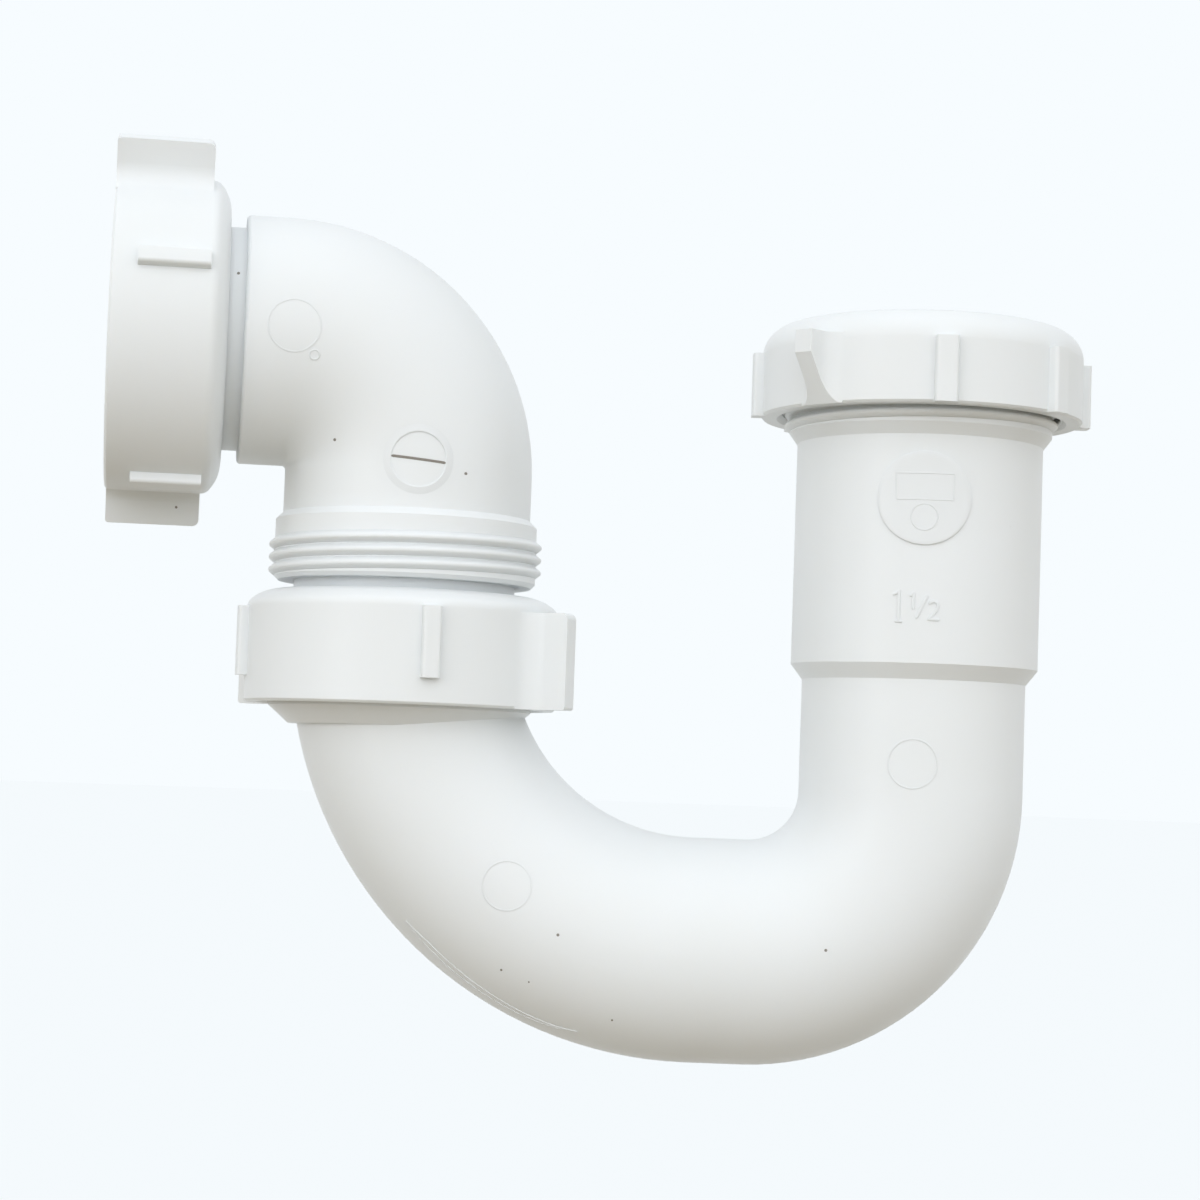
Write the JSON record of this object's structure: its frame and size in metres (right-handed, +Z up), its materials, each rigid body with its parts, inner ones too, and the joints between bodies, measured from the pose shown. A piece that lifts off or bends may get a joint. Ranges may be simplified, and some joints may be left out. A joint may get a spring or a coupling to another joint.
{
  "type": "sink trap",
  "caption": "Tubular sink trap in white plastic: a hollow U bend, a union elbow that swivels on it, and winged slip nuts over tapered washers.",
  "frame": {"origin": "on the inlet socket's axis, at the foot of its bevelled washer seat, where the straight wall starts; the inlet's rim is 2.6 mm above it", "axes": "+Z up the inlet's axis, the way a tailpiece leaves it; +X from the union towards the inlet; +Y into the picture"},
  "size_m": [0.1744, 0.0651, 0.1536],
  "materials": {
    "white_plastic": "satin",
    "washer_plastic": "matte"
  },
  "bodies": {
    "trap_bend": {"trap_bend": "white_plastic"},
    "inlet_washer": {"inlet_washer": "washer_plastic"},
    "inlet_nut": {"inlet_nut": "white_plastic"},
    "union_washer": {"union_washer": "washer_plastic"},
    "union_nut": {"union_nut": "white_plastic"},
    "elbow": {"elbow": "white_plastic"},
    "outlet_washer": {"outlet_washer": "washer_plastic"},
    "outlet_nut": {"outlet_nut": "white_plastic"}
  },
  "joints": [
    {"name": "inlet_nut_travel", "type": "slide", "parent": "trap_bend", "child": "inlet_washer", "axis": [0, 0, 1], "range_m": [0, 0.00773]},
    {"name": "inlet_nut_turn", "type": "hinge", "parent": "inlet_washer", "child": "inlet_nut", "pos_m": [0, 0, 0.004], "axis": [0, 0, 1], "range_deg": [0, 1260]},
    {"name": "union_nut_travel", "type": "slide", "parent": "trap_bend", "child": "union_washer", "axis": [0, 0, 1], "range_m": [0, 0.00773]},
    {"name": "union_nut_turn", "type": "hinge", "parent": "union_washer", "child": "union_nut", "pos_m": [-0.0889, 0, -0.0426], "axis": [0, 0, 1], "range_deg": [0, 1260]},
    {"name": "elbow_swivel", "type": "hinge", "parent": "union_washer", "child": "elbow", "pos_m": [-0.0889, 0, -0.0426], "axis": [0, 0, 1], "range_deg": [-135, 115]},
    {"name": "outlet_nut_travel", "type": "slide", "parent": "elbow", "child": "outlet_washer", "axis": [-0.9848, -0.1736, 0], "range_m": [-0.0025, 0.0098]},
    {"name": "outlet_nut_turn", "type": "hinge", "parent": "outlet_washer", "child": "outlet_nut", "pos_m": [-0.12829, -0.00695, 0.0034], "axis": [-0.9848, -0.1736, 0], "continuous": true}
  ],
  "couplings": [
    {"joint": "inlet_nut_turn", "follows": "inlet_nut_travel", "rad_per_m": 2844.8},
    {"joint": "union_nut_turn", "follows": "union_nut_travel", "rad_per_m": 2844.8}
  ]
}
